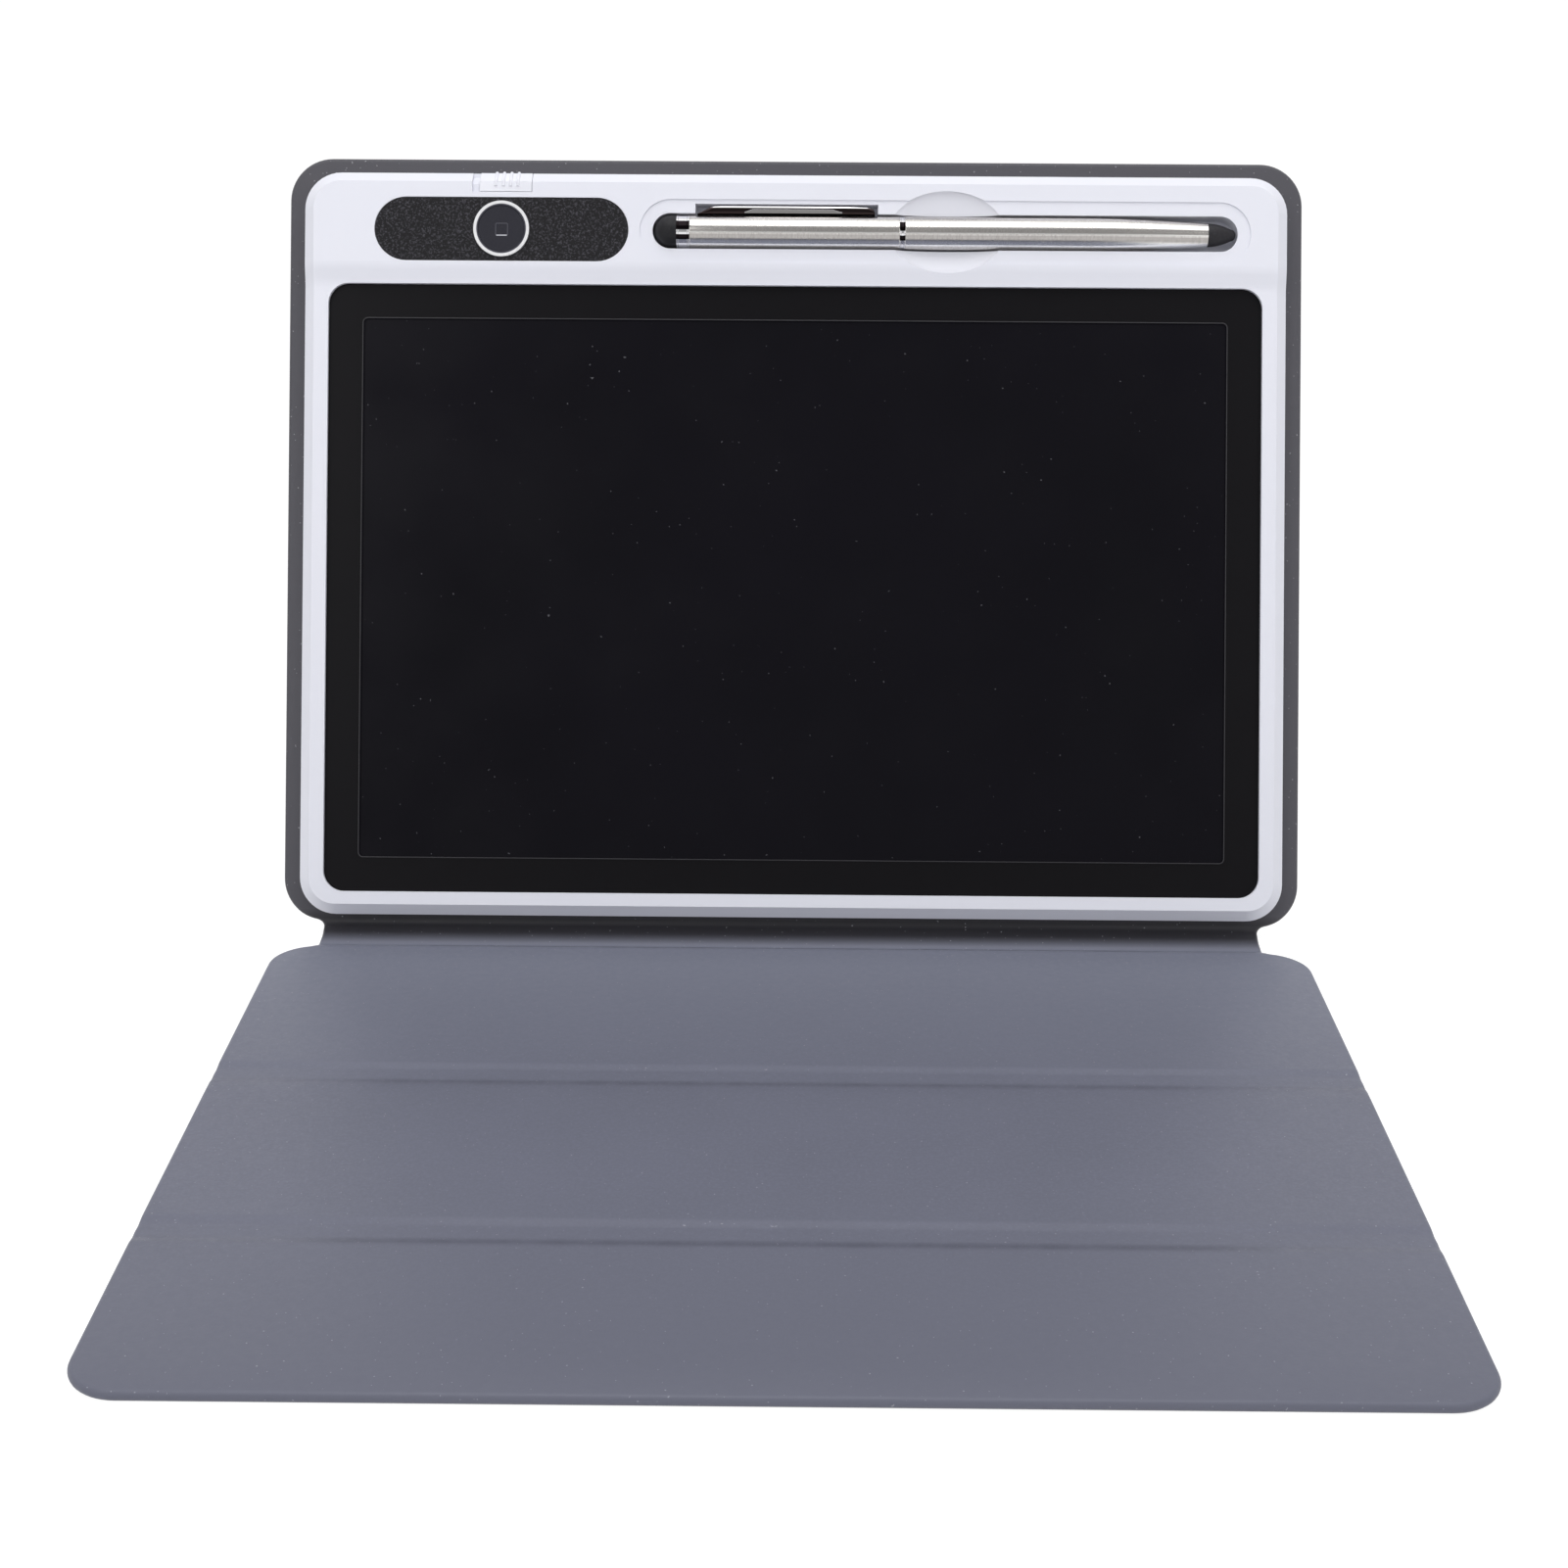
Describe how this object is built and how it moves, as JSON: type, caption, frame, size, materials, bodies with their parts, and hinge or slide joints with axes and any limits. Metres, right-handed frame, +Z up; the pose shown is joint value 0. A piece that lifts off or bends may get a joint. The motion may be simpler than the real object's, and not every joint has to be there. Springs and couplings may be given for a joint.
{
  "type": "lcd writing tablet in a folio",
  "caption": "LCD writing tablet with clear button, lock slider and stylus, standing in a grey leather folio whose three-part cover lies flat in front.",
  "frame": {"origin": "middle of the flat cover's underside, on the table", "axes": "+X to the tablet's right as seen from the front, +Y to the back, +Z up"},
  "size_m": [0.25, 0.2658, 0.1813],
  "materials": {
    "leather_skin": "satin",
    "leather_lining": "satin",
    "fibreboard": "matte",
    "cover_board": "matte",
    "magnet_steel": "satin",
    "adhesive_foam": "matte",
    "white_plastic": "satin",
    "screw_steel": "satin",
    "screen_black": "gloss",
    "screen_film": "gloss",
    "screen_plate": "matte",
    "flex_amber": "satin",
    "inlay_black": "matte",
    "ring_chrome": "polished",
    "button_black": "satin",
    "board_green": "satin",
    "switch_metal": "satin",
    "chip_black": "matte",
    "cell_steel": "satin",
    "contact_brass": "satin",
    "pen_steel": "brushed",
    "pen_chrome": "polished",
    "pen_rubber": "matte",
    "pen_plastic": "satin"
  },
  "bodies": {
    "tablet": {"back_skin": "leather_skin", "back_board": "fibreboard", "back_lining": "leather_lining", "back_magnets": "magnet_steel", "adhesive_sheet": "adhesive_foam", "rear_shell": "white_plastic", "front_bezel": "white_plastic", "shell_screws": "screw_steel", "screen_border": "screen_black", "screen_film": "screen_film", "screen_plate": "screen_plate", "foam_frame": "adhesive_foam", "flex_tail": "flex_amber", "button_inlay": "inlay_black", "button_ring": "ring_chrome", "circuit_board": "board_green", "clear_switch": "switch_metal", "lock_switch": "switch_metal", "driver_chips": "chip_black", "battery_contacts": "contact_brass"},
    "spine": {"spine_strip": "leather_skin", "spine_fold_lower": "leather_skin", "spine_fold_upper": "leather_skin"},
    "clear_button": {"clear_button": "button_black"},
    "lock_slider": {"lock_slider": "white_plastic"},
    "battery_tray": {"battery_tray": "white_plastic", "coin_cell": "cell_steel"},
    "pen": {"pen_dome": "pen_rubber", "pen_ring": "pen_chrome", "pen_upper_barrel": "pen_steel", "pen_band": "pen_chrome", "pen_core": "pen_plastic", "pen_lower_barrel": "pen_steel", "pen_nib": "pen_plastic", "pen_clip": "pen_chrome"},
    "cover_inner": {"cover_inner_skin": "leather_skin", "cover_inner_board": "cover_board", "cover_inner_lining": "leather_lining"},
    "cover_middle": {"cover_middle_skin": "leather_skin", "cover_middle_board": "cover_board", "cover_middle_lining": "leather_lining"},
    "cover_outer": {"cover_outer_skin": "leather_skin", "cover_outer_board": "cover_board", "cover_outer_lining": "leather_lining", "cover_magnets": "magnet_steel"}
  },
  "joints": [
    {"name": "tablet_fold", "type": "hinge", "parent": "tablet", "child": "spine", "pos_m": [0, 0.10399, 0.00321], "axis": [1, 0, 0], "range_deg": [-34.4, 145.6]},
    {"name": "cover_fold", "type": "hinge", "parent": "spine", "child": "cover_inner", "pos_m": [0, 0.09545, 0.0011], "axis": [1, 0, 0], "range_deg": [-74.9, 102.7]},
    {"name": "rear_crease", "type": "hinge", "parent": "cover_inner", "child": "cover_middle", "pos_m": [0, 0.0277, 0], "axis": [-1, 0, 0], "range_deg": [-125, 0]},
    {"name": "front_crease", "type": "hinge", "parent": "cover_middle", "child": "cover_outer", "pos_m": [0, -0.0397, 0], "axis": [-1, 0, 0], "range_deg": [-115, 0]},
    {"name": "button_press", "type": "slide", "parent": "tablet", "child": "clear_button", "axis": [0, 0.9367, -0.3502], "range_m": [0, 0.0006], "stiffness_N_per_m": 2000},
    {"name": "lock_slide", "type": "slide", "parent": "tablet", "child": "lock_slider", "axis": [-1, 0, 0], "range_m": [0, 0.0018]},
    {"name": "tray_slide", "type": "slide", "parent": "tablet", "child": "battery_tray", "axis": [0, 0.3502, 0.9367], "range_m": [0, 0.025]},
    {"name": "pen_lift", "type": "slide", "parent": "tablet", "child": "pen", "axis": [0, -0.9367, 0.3502], "range_m": [0, 0.03]}
  ],
  "couplings": [
    {"joint": "front_crease", "follows": "rear_crease", "ratio": 0.92}
  ]
}
